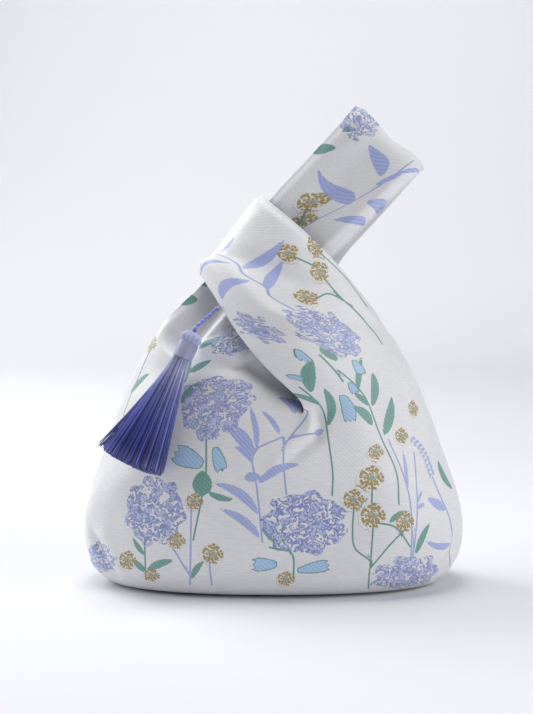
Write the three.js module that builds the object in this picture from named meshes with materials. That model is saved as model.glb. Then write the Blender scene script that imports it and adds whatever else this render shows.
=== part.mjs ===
// A knot bag: a lined brocade wrist bag cut like a sleeveless top, standing closed with its long handle
// drawn through its short one, and a silk tassel hanging from the edge of the short handle.
// Millimetres, +X to the bag's right, +Y to its back, +Z up, origin on the table under the base's middle.
import * as THREE from "three";

// Driving dimensions
const BAG_WIDTH = 218; // widest, near the base
const BAG_DEPTH = 120; // front to back, near the base
const SEAM_TOP = 142.5; // height where the side seams end and the side openings begin
const NECK_DROP = 41; // from there down to the lowest point of the neckline, where the two handles part
const NECK_SIDE = 16.5; // how far that point lies to the right of the middle
const SLIT_RISE = 7; // above that point the handles' edges rise side by side before they cross
const SLIT_WIDTH = 4; // this far apart
const SLIT_DEPTH = 8; // with the short handle's edge this far in front of the long one's
const SIDE_HALF_GAP = 8; // half the width of the side openings just over the side seams
const BROCADE = 1.0; // outer cloth with its backing
const LINING = 0.6;
const LAYER_GAP = 0.3; // between brocade and lining
const SEAM_GAP = 0.3; // between the front and back panels along a seam

// Short handle: leans to the left over the long one and folds round it
const SHORT_WIDTH = 57; // across the band at its fold
const SHORT_FLARE = 9; // extra width half way, where it widens into the body
const SHORT_FOLD_AT = 0.62; // share of the way up the long handle's left edge where it folds round
const SHORT_FOLD_IN = 1.27; // from that edge in to the ends of its layers
const SHORT_FOLD_UP = 3.5; // and up to the middle of the fold
const SHORT_FOLD_TURN = 3; // degrees that the fold line is steeper than that edge
const SHORT_ROUND = 7; // how far the rounded fold stands out past its layers
const HANDLE_ROOM = 5.5; // from the long handle's layers out to the short one's, at the fold

// Long handle: leaves the knot to the upper right
const LONG_WIDTH = 52.5;
const LONG_SIDE = 17.5; // where it leaves the knot, to the right of the middle
const LONG_RISE = 59.5; // and above the tops of the side seams
const LONG_LEAN = 46; // degrees of the handle above the horizontal
const LONG_TIP_LEAN = 48; // the same at its tip, as it straightens up a little
const LONG_SQUEEZE = 4; // how much narrower it is half way up to the knot
const LONG_REACH = 69.5; // from the knot to its fold
const LONG_HALF_GAP = 7.5; // half the space between its two layers
const LONG_ROUND = 5;

// Tassel
const CORD_DIAMETER = 2.4;
const CORD_EXIT_AT = 0.81; // share of the way along the short handle's lower edge
const ROOT_GAP = 0.7; // from the handle's edge to the cord's end, so that the cord can swing
const HEAD_RADIUS = 6.0;
const HEAD_HEIGHT = 5.8;
const NECK_RADIUS = 4.6; // of the thread hank under its binding
const BINDING_LENGTH = 10.2;
const BINDING_WALL = 0.7;
const SKIRT_LENGTH = 65;
const SKIRT_WIDTH = 39; // across the cut ends
const SKIRT_DEPTH = 16; // the same, from the bag outwards
const TASSEL_CLEARANCE = 0.3; // between pieces that touch
const HANK_CLEARANCE = 4.6; // between the hank and the body it lies on
const HEAD_TURN = 0.312; // the head's place round the front, from the left seam to the right one
const HEAD_DROP = 7.5; // below the tops of the side seams
const SKIRT_TURN = 0.2586; // the same for the middle of the cut ends
const SKIRT_DROP = 71.3;

// Finish
const BROCADE_FINISH = { color: 0xd9d7d6, roughness: 0.55, metalness: 0 };
const LINING_FINISH = { color: 0xc9cfe2, roughness: 0.7, metalness: 0 };
const SILK_FINISH = { color: 0x6670b4, roughness: 0.4, metalness: 0 };

// Mesh density: columns across a panel, and how many of them belong to the long handle
const COLUMNS = 10;
const LONG_COLUMNS = 6;
const STRAP_STEPS = [0, 0.25, 0.5, 0.75, 1];
const REACH_STEPS = [1 / 3, 2 / 3, 1];

const radians = THREE.MathUtils.degToRad;
const mix = THREE.MathUtils.lerp;

// Where the neckline and the long handle lie, and the room inside the short one
const neckBottom = SEAM_TOP - NECK_DROP;
const longStart = [LONG_SIDE, SEAM_TOP + LONG_RISE];
const shortHalfGap = LONG_HALF_GAP + HANDLE_ROOM;

// Body: height as a share of the side seam, then half width and half depth as shares of their widest
const BODY_PROFILE = [
  [0.0, 0.86, 0.8],
  [0.055, 0.955, 0.93],
  [0.17, 1.0, 1.0],
  [0.32, 0.988, 1.0],
  [0.45, 0.932, 0.96],
  [0.57, 0.873, 0.9],
  [0.69, 0.816, 0.82],
  [0.82, 0.752, 0.7],
  [0.93, 0.68, 0.585],
  [1.0, 0.62, 0.5],
];
const BASE_ROWS = [0, 0.5]; // how far the flat base rows lie from the base seam to the base edge
const WALL_ROWS = [0, 0.055, 0.17, 0.33, 0.5]; // heights of the level rings
const SHOULDER_ROWS = [1 / 3, 2 / 3, 1]; // rows from the highest ring up to the mouth
const SECTION_POWER = 2.25; // the rings are a little squarer than ellipses
const BASE_SEAM_SHARE = 0.8; // length of the base seam against the base's own

function profileAt(height) {
  const share = THREE.MathUtils.clamp(height / SEAM_TOP, 0, 1);
  const upper = Math.max(1, BODY_PROFILE.findIndex((row) => row[0] >= share));
  const [low, high] = [BODY_PROFILE[upper - 1], BODY_PROFILE[upper]];
  const between = (share - low[0]) / (high[0] - low[0]);
  // a subdivided ring shrinks a little inside its control points
  const ease = 6 / (4 + 2 * Math.cos(Math.PI / COLUMNS));
  return {
    halfWidth: (BAG_WIDTH / 2) * ease * mix(low[1], high[1], between),
    halfDepth: (BAG_DEPTH / 2) * ease * mix(low[2], high[2], between),
  };
}

// A place on the body's front: turned from the left seam (0) to the right seam (1), at a height.
function ringPoint(turn, height, inset = 1) {
  const angle = Math.PI * (1 - turn);
  const { halfWidth, halfDepth } = profileAt(height);
  const squared = (v) => Math.sign(v) * Math.abs(v) ** (2 / SECTION_POWER);
  const x = halfWidth * mix(1, inset, 1 - BASE_SEAM_SHARE) * squared(Math.cos(angle));
  return new THREE.Vector3(x, -halfDepth * inset * squared(Math.sin(angle)), height);
}

// Columns are even round the base. Towards the mouth they are drawn to the place where the handles part.
const NECK_SHARE = LONG_COLUMNS / COLUMNS;
const neckCosine = (NECK_SIDE / profileAt(neckBottom).halfWidth) ** (SECTION_POWER / 2);
const NECK_TURN = 1 - Math.acos(neckCosine) / Math.PI;

function shoulderPoint(share, rise) {
  const fromSeam = share < NECK_SHARE ? share / NECK_SHARE : (1 - share) / (1 - NECK_SHARE);
  const mouthHeight = mix(SEAM_TOP, neckBottom, THREE.MathUtils.smoothstep(fromSeam, 0, 1));
  const mouthTurn = share < NECK_SHARE ? fromSeam * NECK_TURN : 1 - fromSeam * (1 - NECK_TURN);
  const ringTop = WALL_ROWS[WALL_ROWS.length - 1] * SEAM_TOP;
  return ringPoint(mix(share, mouthTurn, rise), mix(ringTop, mouthHeight, rise));
}

// Where the edges of the handles' first rows lie: at the neckline, and just over the side seams.
const neckPoint = shoulderPoint(NECK_SHARE, 1);
const neckHigh = neckPoint.clone().add(new THREE.Vector3(SLIT_WIDTH / 2, -SLIT_DEPTH / 2, SLIT_RISE));
const neckLow = neckPoint.clone().add(new THREE.Vector3(-SLIT_WIDTH / 2, SLIT_DEPTH / 2, SLIT_RISE));
function sideOpening(seamTop) {
  const inward = -Math.sign(seamTop.x) * SLIT_RISE * 0.6;
  return seamTop.clone().add(new THREE.Vector3(inward, -SIDE_HALF_GAP, SLIT_RISE));
}
const leftOpening = sideOpening(shoulderPoint(0, 1));
const rightOpening = sideOpening(shoulderPoint(1, 1));

// One row across a handle: its middle, its width along a turned line, and the depth of its two edges.
function bandRow({ middle, turn, width, leftDepth, rightDepth, bulge }) {
  return (share) => {
    const across = (share - 0.5) * width;
    const x = middle[0] + across * Math.cos(turn);
    const z = middle[1] + across * Math.sin(turn);
    const depth = mix(leftDepth, rightDepth, share) + 4 * bulge * share * (1 - share);
    return new THREE.Vector3(x, -depth, z);
  };
}

// Rows that lead from the mouth to the end of a band, easing each first measure into its last.
function bandFromMouth(left, right, end, depths) {
  const start = [(left.x + right.x) / 2, (left.z + right.z) / 2];
  const startTurn = Math.atan2(right.z - left.z, right.x - left.x);
  const startWidth = Math.hypot(right.x - left.x, right.z - left.z);
  return (step) =>
    bandRow({
      middle: [mix(start[0], end.middle[0], step), mix(start[1], end.middle[1], step)],
      turn: mix(startTurn, end.turn, step),
      width: mix(startWidth, end.width, step) + (end.flare ?? 0) * 4 * step * (1 - step),
      ...depths(step),
    });
}

const longEnd = {
  middle: longStart,
  turn: radians(LONG_LEAN - 90),
  width: LONG_WIDTH,
  flare: -LONG_SQUEEZE,
};
const LONG_LIFT = -2.5; // its left edge lies flatter inside the short handle's fold
const longRow = bandFromMouth(leftOpening, neckLow, longEnd, (step) => ({
  leftDepth: mix(-leftOpening.y, LONG_HALF_GAP, step) + LONG_LIFT * 4 * step * (1 - step),
  rightDepth: mix(-neckLow.y, LONG_HALF_GAP, 1 - (1 - step) ** 2),
  bulge: mix(4, 14, (1 - step) ** 2),
}));

// The short handle folds round the long one's left edge.
const foldEdge = longRow(SHORT_FOLD_AT)(0);
const edgeRun = longRow(SHORT_FOLD_AT + 0.17)(0).sub(longRow(SHORT_FOLD_AT - 0.17)(0));
const shortFold = [foldEdge.x + SHORT_FOLD_IN, foldEdge.z + SHORT_FOLD_UP];
const shortEnd = {
  middle: shortFold,
  turn: Math.atan2(edgeRun.z, edgeRun.x) + radians(SHORT_FOLD_TURN),
  width: SHORT_WIDTH,
  flare: SHORT_FLARE,
};
const SHORT_LIFT = 9; // extra room under the short handle's upper edge, half way
const NECK_LIFT = 4; // how far its lower edge stands out over the long handle's root
const shortRow = bandFromMouth(neckHigh, rightOpening, shortEnd, (step) => ({
  leftDepth: mix(-neckHigh.y, shortHalfGap, step ** 1.8) + NECK_LIFT * 4 * step * (1 - step),
  rightDepth: mix(-rightOpening.y, shortHalfGap, step) + SHORT_LIFT * 4 * step * (1 - step),
  bulge: mix(4, 12, (1 - step) ** 1.5),
}));

// The long handle past the knot, and the folded ends of both handles.
function reachRow(step, depth, extra = 0, bulge = 4) {
  const lean = radians(mix(LONG_LEAN, LONG_TIP_LEAN, step / 2));
  const along = LONG_REACH * step + extra;
  return bandRow({
    middle: [longStart[0] + along * Math.cos(lean), longStart[1] + along * Math.sin(lean)],
    turn: radians(mix(LONG_LEAN, LONG_TIP_LEAN, step)) - Math.PI / 2,
    width: LONG_WIDTH,
    leftDepth: depth,
    rightDepth: depth,
    bulge,
  });
}
const shortFoldRow = bandRow({
  ...shortEnd,
  middle: [
    shortFold[0] - SHORT_ROUND * Math.sin(shortEnd.turn),
    shortFold[1] + SHORT_ROUND * Math.cos(shortEnd.turn),
  ],
  leftDepth: 0,
  rightDepth: 0,
  bulge: 0,
});
const longFoldRow = reachRow(1, 0, LONG_ROUND, 0);

// The control cage of the whole bag: the front half and its mirror image behind, joined at the seams.
function bagCage() {
  const points = [];
  const quads = [];
  const sides = [];
  const add = (point) => points.push(point) - 1;
  const onSeam = (point) => Math.abs(point.y) < 1e-6;
  const pair = (point) => {
    const front = add(point);
    const back = onSeam(point) ? front : add(new THREE.Vector3(point.x, -point.y, point.z));
    return [front, back];
  };
  const row = (place, first, last) => {
    const cells = [];
    for (let column = first; column <= last; column += 1) {
      cells[column] = pair(place((column - first) / (last - first)));
    }
    return cells;
  };
  const join = (lower, upper, first, last) => {
    for (let column = first; column < last; column += 1) {
      const ring = [lower[column], lower[column + 1], upper[column + 1], upper[column]];
      quads.push(ring.map((both) => both[0]));
      sides.push("front");
      quads.push(ring.map((both) => both[1]).reverse());
      sides.push("back");
    }
  };
  const strip = (rows, first, last) => {
    rows.slice(1).forEach((upper, i) => join(rows[i], upper, first, last));
  };

  const body = [
    ...BASE_ROWS.map((inset) => row((share) => ringPoint(share, 0, inset), 0, COLUMNS)),
    ...WALL_ROWS.map((share) => row((across) => ringPoint(across, share * SEAM_TOP), 0, COLUMNS)),
    ...SHOULDER_ROWS.map((rise) => row((share) => shoulderPoint(share, rise), 0, COLUMNS)),
  ];
  strip(body, 0, COLUMNS);
  const mouth = body[body.length - 1];

  const longRows = [
    ...STRAP_STEPS.map(longRow),
    ...REACH_STEPS.map((step) => reachRow(step, LONG_HALF_GAP)),
    longFoldRow,
  ];
  strip([mouth, ...longRows.map((place) => row(place, 0, LONG_COLUMNS))], 0, LONG_COLUMNS);

  const shortRows = [...STRAP_STEPS.map(shortRow), shortFoldRow];
  strip([mouth, ...shortRows.map((place) => row(place, LONG_COLUMNS, COLUMNS))], LONG_COLUMNS, COLUMNS);
  return { points, quads, sides };
}

const meanOf = (list) =>
  list.reduce((sum, point) => sum.add(point), new THREE.Vector3()).divideScalar(list.length);

// The edges of a cage, with the quads on each, and for each point its edges and quads.
function neighbours({ points, quads }) {
  const edges = new Map();
  const around = points.map(() => ({ edges: [], quads: [] }));
  quads.forEach((quad, q) =>
    quad.forEach((a, i) => {
      const b = quad[(i + 1) % quad.length];
      const key = a < b ? `${a} ${b}` : `${b} ${a}`;
      if (!edges.has(key)) {
        edges.set(key, { ends: [a, b], quads: [] });
        around[a].edges.push(key);
        around[b].edges.push(key);
      }
      edges.get(key).quads.push(q);
      around[a].quads.push(q);
    }),
  );
  const rim = (i) => around[i].edges.filter((key) => edges.get(key).quads.length === 1);
  const other = (key, i) => edges.get(key).ends.find((end) => end !== i);
  return { edges, around, rim, other };
}

// One round of Catmull-Clark subdivision, with smooth open edges.
function subdivide(cage) {
  const { points, quads, sides } = cage;
  const { edges, around, rim, other } = neighbours(cage);
  const centres = quads.map((quad) => meanOf(quad.map((i) => points[i])));
  const made = points.map((point, i) => {
    const open = rim(i);
    if (open.length) {
      const ends = meanOf(open.map((key) => points[other(key, i)]));
      return point.clone().lerp(ends, 0.25);
    }
    const n = around[i].edges.length;
    const face = meanOf(around[i].quads.map((q) => centres[q]));
    const middle = meanOf(around[i].edges.map((key) => meanOf(edges.get(key).ends.map((e) => points[e]))));
    return face.addScaledVector(middle, 2).addScaledVector(point, n - 3).divideScalar(n);
  });
  const middles = new Map();
  edges.forEach((edge, key) => {
    const ends = edge.ends.map((e) => points[e]);
    const list = edge.quads.length === 1 ? ends : [...ends, ...edge.quads.map((q) => centres[q])];
    middles.set(key, made.push(meanOf(list)) - 1);
  });
  const finer = { points: made, quads: [], sides: [] };
  quads.forEach((quad, q) => {
    const centre = made.push(centres[q]) - 1;
    const edge = (a, b) => middles.get(a < b ? `${a} ${b}` : `${b} ${a}`);
    quad.forEach((a, i) => {
      const before = quad[(i + 3) % 4];
      const after = quad[(i + 1) % 4];
      finer.quads.push([a, edge(a, after), centre, edge(before, a)]);
      finer.sides.push(sides[q]);
    });
  });
  return finer;
}

// Moves every point to where endless subdivision would bring it.
function settle(cage) {
  const { points, quads } = cage;
  const { around, rim, other } = neighbours(cage);
  const settled = points.map((point, i) => {
    const open = rim(i);
    if (open.length) return point.clone().lerp(meanOf(open.map((key) => points[other(key, i)])), 1 / 3);
    const n = around[i].edges.length;
    const sum = point.clone().multiplyScalar(n * n);
    around[i].edges.forEach((key) => sum.addScaledVector(points[other(key, i)], 4));
    around[i].quads.forEach((q) => sum.add(points[quads[q][(quads[q].indexOf(i) + 2) % 4]]));
    return sum.divideScalar(n * (n + 5));
  });
  return { ...cage, points: settled };
}

function normalsOf({ points, quads }) {
  const normals = points.map(() => new THREE.Vector3());
  quads.forEach((quad) => {
    const [a, b, c, d] = quad.map((i) => points[i]);
    const normal = new THREE.Vector3().crossVectors(c.clone().sub(a), d.clone().sub(b));
    quad.forEach((i) => normals[i].add(normal));
  });
  return normals.map((normal) => normal.normalize());
}

const skin = settle(subdivide(bagCage()));
const skinNormals = normalsOf(skin);

// One sewn panel: the quads of one side, between two depths under the skin, closed along its edges.
function panelGeometry(side, outerDepth, innerDepth) {
  const quads = skin.quads.filter((_, q) => skin.sides[q] === side);
  const used = [...new Set(quads.flat())];
  const place = new Map(used.map((i, n) => [i, n]));
  const sign = side === "front" ? -1 : 1;
  const layer = (depth) =>
    used.map((i) => {
      const point = skin.points[i].clone().addScaledVector(skinNormals[i], -depth);
      point.y = sign * Math.max(sign * point.y, SEAM_GAP / 2);
      return point;
    });
  const corners = [...layer(outerDepth), ...layer(innerDepth)];
  const faces = quads.map((quad) => quad.map((i) => place.get(i)));
  const below = used.length;
  const triangles = faces.flatMap(([a, b, c, d]) => [
    [a, b, c],
    [a, c, d],
    [a + below, c + below, b + below],
    [a + below, d + below, c + below],
  ]);
  const directed = new Set(faces.flatMap((face) => face.map((a, i) => `${a} ${face[(i + 1) % 4]}`)));
  directed.forEach((key) => {
    const [a, b] = key.split(" ").map(Number);
    if (!directed.has(`${b} ${a}`)) triangles.push([a, a + below, b + below], [a, b + below, b]);
  });
  return new THREE.BufferGeometry()
    .setAttribute("position", new THREE.Float32BufferAttribute(corners.flatMap((p) => p.toArray()), 3))
    .setIndex(triangles.flat());
}

function named(name, geometry, finish) {
  const mesh = new THREE.Mesh(geometry, new THREE.MeshStandardMaterial(finish));
  mesh.name = name;
  return mesh;
}

function addPanels(bag) {
  const inside = BROCADE + LAYER_GAP;
  ["front", "back"].forEach((side) => {
    bag.add(named(`outer_${side}_panel`, panelGeometry(side, 0, BROCADE), BROCADE_FINISH));
    const lining = panelGeometry(side, inside, inside + LINING);
    bag.add(named(`lining_${side}_panel`, lining, LINING_FINISH));
  });
}

// The tassel hangs from the short handle's lower edge and lies against the body's left front.
const edgeControls = [...STRAP_STEPS.map((step) => shortRow(step)(0)), shortFoldRow(0)];
function alongShortEdge(share) {
  const at = share * (STRAP_STEPS.length - 1);
  const first = Math.floor(at) - 1;
  const t = at - Math.floor(at);
  const weights = [(1 - t) ** 3, 3 * t ** 3 - 6 * t ** 2 + 4, 1 + 3 * t + 3 * t ** 2 - 3 * t ** 3, t ** 3];
  return weights.reduce(
    (sum, weight, i) => sum.addScaledVector(edgeControls[first + i], weight / 6),
    new THREE.Vector3(),
  );
}
const edgePoint = alongShortEdge(CORD_EXIT_AT);
const nearestIndex = skin.points.reduce(
  (best, point, i) => (point.distanceTo(edgePoint) < skin.points[best].distanceTo(edgePoint) ? i : best),
  0,
);
const edgeNormal = skinNormals[nearestIndex];
// sewn into the edge, half way through the cloth, and leading away from the handle
const edgeLine = alongShortEdge(CORD_EXIT_AT + 0.01).sub(edgePoint);
const awayFromEdge = edgeNormal.clone().cross(edgeLine).normalize();
const cordRoot = edgePoint.clone().addScaledVector(edgeNormal, -(BROCADE + LAYER_GAP + LINING) / 2);
const cordExit = cordRoot.clone().addScaledVector(awayFromEdge, ROOT_GAP);

// The way out of the body at a place on its front.
function outOfBody(turn, height) {
  const here = ringPoint(turn, height);
  const across = ringPoint(turn + 1e-3, height).sub(here);
  const up = here.sub(ringPoint(turn, height - 1));
  return across.cross(up).normalize();
}

// The hank lies on the body at two places, its head and its cut ends.
const standOff = (turn, height, distance) =>
  ringPoint(turn, height).addScaledVector(outOfBody(turn, height), distance + HANK_CLEARANCE);
const headMiddle = standOff(HEAD_TURN, SEAM_TOP - HEAD_DROP, HEAD_RADIUS);
const skirtEnd = standOff(SKIRT_TURN, SEAM_TOP - SKIRT_DROP, SKIRT_DEPTH / 2);
const hang = skirtEnd.clone().sub(headMiddle).normalize();
const restOut = outOfBody(SKIRT_TURN, SEAM_TOP - SKIRT_DROP);
const outward = restOut.addScaledVector(hang, -restOut.dot(hang)).normalize();

const SOCKET_DEPTH = 9;
const SOCKET_RADIUS = CORD_DIAMETER / 2 + TASSEL_CLEARANCE * 1.5;
const bindingStart = HEAD_HEIGHT;
const bindingEnd = bindingStart + BINDING_LENGTH;
const hankLength = bindingEnd + SKIRT_LENGTH;
const headTop = skirtEnd.clone().addScaledVector(hang, -hankLength);

// The hank of silk threads: rounded head, bound neck and a spreading skirt, flattened against the bag.
function hankGeometry() {
  const outline = [
    [0, SOCKET_DEPTH],
    [SOCKET_RADIUS, SOCKET_DEPTH],
    [SOCKET_RADIUS, 0.6],
    [HEAD_RADIUS * 0.42, 0],
    [HEAD_RADIUS * 0.78, HEAD_HEIGHT * 0.14],
    [HEAD_RADIUS, HEAD_HEIGHT * 0.48],
    [HEAD_RADIUS * 0.97, HEAD_HEIGHT * 0.85],
    [NECK_RADIUS, bindingStart],
    [NECK_RADIUS, bindingEnd],
    [mix(NECK_RADIUS, SKIRT_WIDTH / 2, 0.16), mix(bindingEnd, hankLength, 0.1)],
    [mix(NECK_RADIUS, SKIRT_WIDTH / 2, 0.62), mix(bindingEnd, hankLength, 0.55)],
    [SKIRT_WIDTH / 2, hankLength],
    [0, hankLength],
  ];
  const spun = outline.map(([radius, along]) => new THREE.Vector2(radius, -along)).reverse();
  const geometry = new THREE.LatheGeometry(spun, 20);
  const spots = geometry.attributes.position;
  for (let i = 0; i < spots.count; i += 1) {
    const down = THREE.MathUtils.smoothstep(-spots.getY(i), bindingEnd, hankLength);
    spots.setZ(i, spots.getZ(i) * mix(1, SKIRT_DEPTH / SKIRT_WIDTH, down));
  }
  return geometry;
}

function bindingGeometry() {
  const inner = NECK_RADIUS + TASSEL_CLEARANCE;
  const outer = inner + BINDING_WALL;
  const top = -bindingStart - TASSEL_CLEARANCE;
  const bottom = -bindingEnd;
  const outline = [
    [inner, bottom],
    [outer, bottom],
    [outer, top],
    [inner, top],
    [inner, bottom],
  ];
  return new THREE.LatheGeometry(outline.map(([r, y]) => new THREE.Vector2(r, y)), 24);
}

function cordGeometry() {
  const into = SOCKET_DEPTH - TASSEL_CLEARANCE;
  const leaving = cordExit.clone().addScaledVector(awayFromEdge, CORD_DIAMETER);
  const alongHank = (distance) => headTop.clone().addScaledVector(hang, distance);
  const entering = [-CORD_DIAMETER * 1.5, 0, into].map(alongHank);
  const route = new THREE.CatmullRomCurve3([cordExit, leaving, ...entering]);
  const section = new THREE.Shape();
  section.absarc(0, 0, CORD_DIAMETER / 2, 0, 2 * Math.PI);
  const sweep = { extrudePath: route, steps: 8, curveSegments: 4, bevelEnabled: false };
  return new THREE.ExtrudeGeometry(section, sweep);
}

function addTassel(bag) {
  bag.add(named("tassel_cord", cordGeometry(), SILK_FINISH));
  const tassel = new THREE.Group();
  const sideways = new THREE.Vector3().crossVectors(hang.clone().negate(), outward);
  tassel.matrix.makeBasis(sideways, hang.clone().negate(), outward).setPosition(headTop);
  tassel.matrix.decompose(tassel.position, tassel.quaternion, tassel.scale);
  tassel.add(named("tassel_hank", hankGeometry(), SILK_FINISH));
  tassel.add(named("tassel_binding", bindingGeometry(), SILK_FINISH));
  bag.add(tassel);
}

const bag = new THREE.Group();
bag.name = "knot_bag";
addPanels(bag);
addTassel(bag);

export default bag;
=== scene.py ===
from functools import partial
import bpy
import numpy as np
from math import acos, atan2, cos, pi, radians, sin
from mathutils.kdtree import KDTree
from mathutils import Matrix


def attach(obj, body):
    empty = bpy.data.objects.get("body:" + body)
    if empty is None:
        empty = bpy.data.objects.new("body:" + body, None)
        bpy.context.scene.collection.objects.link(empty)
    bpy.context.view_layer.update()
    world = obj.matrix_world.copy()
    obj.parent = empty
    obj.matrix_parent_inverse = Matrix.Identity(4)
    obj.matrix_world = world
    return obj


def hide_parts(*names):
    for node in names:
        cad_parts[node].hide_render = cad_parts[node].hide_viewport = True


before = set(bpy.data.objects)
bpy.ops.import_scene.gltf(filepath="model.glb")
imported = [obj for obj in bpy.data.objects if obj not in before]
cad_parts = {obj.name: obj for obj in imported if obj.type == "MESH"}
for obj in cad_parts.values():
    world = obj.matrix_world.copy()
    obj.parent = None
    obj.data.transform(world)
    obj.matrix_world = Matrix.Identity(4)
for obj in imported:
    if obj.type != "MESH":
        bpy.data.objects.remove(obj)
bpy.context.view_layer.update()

mm = 0.001
scene = bpy.context.scene
scene.view_settings.view_transform = "Standard"


def mix(a, b, t):
    return a + (b - a) * t


def ease(t):
    t = np.clip(t, 0.0, 1.0)
    return t * t * (3.0 - 2.0 * t)


def toLinear(code):  # sRGB hex to linear colour
    parts = [int(code[i:i + 2], 16) / 255 for i in (1, 3, 5)]
    return tuple(c / 12.92 if c <= 0.04045 else ((c + 0.055) / 1.055) ** 2.4 for c in parts) + (1.0,)


# one node with its settings, and its values and links by socket
def addNode(tree, kind, links=None, **settings):
    node = tree.nodes.new(kind if "Node" in kind else "ShaderNode" + kind)
    for name, value in settings.items():
        setattr(node, name, value)
    for socket, source in (links or {}).items():
        if isinstance(source, bpy.types.Node):  # a node stands for its first output
            source = source.outputs[0]
        if isinstance(source, bpy.types.NodeSocket):
            tree.links.new(source, node.inputs[socket])
        else:
            node.inputs[socket].default_value = source
    return node


def newMaterial(name):  # an empty material, and addNode for its tree
    material = bpy.data.materials.new(name)
    material.use_nodes = True
    material.node_tree.nodes.clear()
    return material, partial(addNode, material.node_tree)


def meshPiece(name, points, faces, material):  # points in mm
    mesh = bpy.data.meshes.new(name)
    mesh.from_pydata((np.asarray(points, float) * mm).tolist(), [], faces)
    mesh.polygons.foreach_set("use_smooth", [True] * len(mesh.polygons))
    mesh.materials.append(material)
    mesh.update()
    piece = bpy.data.objects.new(name, mesh)
    scene.collection.objects.link(piece)
    return piece


def storeOnPoints(piece, name, values):  # a float or a vector for every point
    values = np.asarray(values, np.float32)
    kind, key = ("FLOAT_VECTOR", "vector") if values.ndim == 2 else ("FLOAT", "value")
    layer = piece.data.attributes.new(name, kind, "POINT")
    layer.data.foreach_set(key, values.ravel())


# camera
look = {"place": (-1.28, -954.9, 220.5), "tilt": 84.53, "turn": 0.16, "lens": 84.53}
camera = bpy.data.objects.new("camera", bpy.data.cameras.new("camera"))
camera.location = [c * mm for c in look["place"]]
camera.rotation_euler = (radians(look["tilt"]), 0.0, radians(look["turn"]))
camera.data.lens = look["lens"]
camera.data.sensor_width = 36.0
camera.data.clip_start = 0.01
scene.collection.objects.link(camera)
scene.camera = camera
print("camera set")

# where the tassel hangs, repeated from the part's source, in mm
tassel = {
    "exit": (-30.276, -26.067, 159.181), "away": (-0.75165, 0.13611, -0.64536),
    "top": (-43.627, -36.711, 145.946), "hang": (-0.42210, -0.20906, -0.88211),
    "outward": (-0.39874, -0.83105, 0.38776), "socket": 8.7,
}
for key in ("exit", "away", "top", "hang", "outward"):
    tassel[key] = np.array(tassel[key])
tassel["sideways"] = np.cross(-tassel["hang"], tassel["outward"])


def onHank(sideways, along, outward):  # a place measured from the top of the tassel's head
    parts = (np.asarray(sideways), np.asarray(along), np.asarray(outward))
    axes = (tassel["sideways"], tassel["hang"], tassel["outward"])
    return tassel["top"] + sum(np.multiply.outer(part, axis) for part, axis in zip(parts, axes))


def smoothLine(knots, count):  # even places on a Catmull-Rom curve through the knots
    knots = np.asarray(knots, float)
    before, after = 2 * knots[0] - knots[1], 2 * knots[-1] - knots[-2]
    full = np.vstack([before, knots, after])
    fine = []
    for i in range(1, len(full) - 2):
        t = np.linspace(0, 1, 24, endpoint=False)[:, None]
        a, b, c, d = full[i - 1:i + 3]
        fine.append(0.5 * (2 * b + (c - a) * t + (2 * a - 5 * b + 4 * c - d) * t ** 2
                           + (3 * b - a - 3 * c + d) * t ** 3))
    fine = np.vstack(fine + [knots[-1:]])
    run = np.r_[0, np.cumsum(np.linalg.norm(np.diff(fine, axis=0), axis=1))]
    even = np.linspace(0, run[-1], count)
    return np.stack([np.interp(even, run, fine[:, k]) for k in range(fine.shape[1])], 1), run[-1]


def unit(vectors):
    return vectors / np.linalg.norm(vectors, axis=1)[:, None]


def ringFaces(rings, sides):  # quads from each ring of points to the next, and a cap at both ends
    faces = []
    for first in range(0, (rings - 1) * sides, sides):
        for k in range(sides):
            a, b = first + k, first + (k + 1) % sides
            faces.append((a, b, b + sides, a + sides))
    return faces + [tuple(reversed(range(sides))), tuple(range((rings - 1) * sides, rings * sides))]


def tube(line, radius, sides):  # closed round tube along a line, as points and faces
    line = np.asarray(line)
    tangent = unit(np.gradient(line, axis=0))
    across = np.cross(tangent[0], (0.3, 0.9, 0.2))  # any way off the line will do
    points = []
    for place, way in zip(line, tangent):
        across = across - way * across.dot(way)
        across /= np.linalg.norm(across)
        other = np.cross(way, across)
        turns = np.arange(sides) * 2 * pi / sides
        points.append(place + radius * (np.outer(np.cos(turns), across) + np.outer(np.sin(turns), other)))
    return np.vstack(points), ringFaces(len(line), sides)


# silk: twisted and combed filament threads, so a soft gloss that runs along the thread; by 'along' the ramp
# gives the binding and head their pale lavender, paints a pale sheen on the skirt's threads near the binding,
# then deep blue further down and paler blue at the tips
silkToneAndSheen = ((0.0, "#A9AECF"), (0.12, "#B9BFE6"), (0.34, "#8790D2"), (0.62, "#616DC6"), (0.88, "#4C56AA"),
            (1.0, "#757EC4"))
silkGloss = {"Roughness": 0.3, "Specular IOR Level": 0.7, "Sheen Weight": 0.2, "Sheen Roughness": 0.3}
silk, add = newMaterial("silk_thread")
along = add("Attribute", attribute_name="along")
shade = add("Attribute", attribute_name="shade")
silkTintAndSheen = add("ValToRGB", {"Fac": along.outputs["Fac"]})
for place, code in silkToneAndSheen[1:-1]:
    silkTintAndSheen.color_ramp.elements.new(place)
for stop, (place, code) in zip(silkTintAndSheen.color_ramp.elements, silkToneAndSheen):
    stop.position, stop.color = place, toLinear(code)
silkColour = add("VectorMath", {0: silkTintAndSheen, "Scale": shade.outputs["Fac"]}, operation="SCALE")
silkShader = add("BsdfPrincipled", {"Base Color": silkColour, **silkGloss})
add("OutputMaterial", {"Surface": silkShader})

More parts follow.
